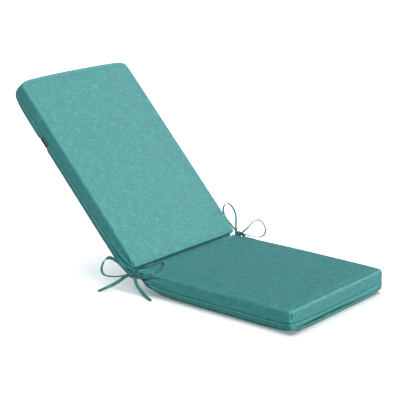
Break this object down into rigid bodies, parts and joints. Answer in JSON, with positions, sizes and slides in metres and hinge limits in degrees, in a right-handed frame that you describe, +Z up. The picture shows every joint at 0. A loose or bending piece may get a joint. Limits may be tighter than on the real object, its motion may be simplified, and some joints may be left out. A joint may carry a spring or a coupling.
{
  "type": "hinged chair pad",
  "caption": "Hinged outdoor chair pad with a seat section and a taller back section, in teal woven fabric, with tie straps in bows at the fold.",
  "frame": {"origin": "centre of the seat section's flat underside, which rests on the chair's seat", "axes": "+X to the seat's front edge, +Y across the pad, +Z up; the fold runs along Y behind the seat"},
  "size_m": [1.157, 0.667, 0.6117],
  "materials": {
    "teal_fabric": "matte",
    "fibre_wadding": "matte",
    "foam": "matte",
    "elastic_strap": "matte",
    "zip_tape": "matte",
    "zip_coil": "satin",
    "zip_metal": "satin"
  },
  "bodies": {
    "seat": {"seat_cover_top": "teal_fabric", "seat_cover_bottom": "teal_fabric", "seat_zip_flap": "teal_fabric", "seat_wadding_top": "fibre_wadding", "seat_wadding_bottom": "fibre_wadding", "seat_foam_core": "foam", "seat_zip_tape_upper": "zip_tape", "seat_zip_tape_lower": "zip_tape", "seat_zip_coil_upper": "zip_coil", "seat_zip_coil_lower": "zip_coil", "seat_zip_stop_left": "zip_metal", "seat_zip_stop_right": "zip_metal", "fold_web": "teal_fabric", "tie_left_back": "teal_fabric", "tie_left_seat": "teal_fabric", "tie_right_back": "teal_fabric", "tie_right_seat": "teal_fabric", "bow_knot_left": "teal_fabric", "bow_knot_right": "teal_fabric"},
    "back": {"back_cover_front": "teal_fabric", "back_cover_rear": "teal_fabric", "back_zip_flap": "teal_fabric", "back_wadding_front": "fibre_wadding", "back_wadding_rear": "fibre_wadding", "back_foam_core": "foam", "back_strap": "elastic_strap", "back_zip_tape_upper": "zip_tape", "back_zip_tape_lower": "zip_tape", "back_zip_coil_upper": "zip_coil", "back_zip_coil_lower": "zip_coil", "back_zip_stop_left": "zip_metal", "back_zip_stop_right": "zip_metal"},
    "seat_slider": {"seat_zip_slider": "zip_metal"},
    "seat_pull": {"seat_zip_pull": "zip_metal"},
    "back_slider": {"back_zip_slider": "zip_metal"},
    "back_pull": {"back_zip_pull": "zip_metal"}
  },
  "joints": [
    {"name": "recline_fold", "type": "hinge", "parent": "seat", "child": "back", "pos_m": [-0.292, 0, 0.077], "axis": [0, 1, 0], "range_deg": [-46, 126], "deforming": ["tie_left_seat", "tie_left_back", "tie_right_back", "tie_right_seat"]},
    {"name": "seat_zip_slide", "type": "slide", "parent": "seat", "child": "seat_slider", "axis": [0, 1, 0], "range_m": [-0.117, 0.277]},
    {"name": "seat_pull_swing", "type": "hinge", "parent": "seat_slider", "child": "seat_pull", "pos_m": [0.29078, -0.08, 0.011], "axis": [0, 0, -1], "range_deg": [0, 180]},
    {"name": "back_zip_slide", "type": "slide", "parent": "back", "child": "back_slider", "axis": [0, -1, 0], "range_m": [0, 0.394]},
    {"name": "back_pull_swing", "type": "hinge", "parent": "back_slider", "child": "back_pull", "pos_m": [-0.85962, 0.197, 0.56978], "axis": [-0.7193, 0, -0.6947], "range_deg": [0, 180]}
  ]
}
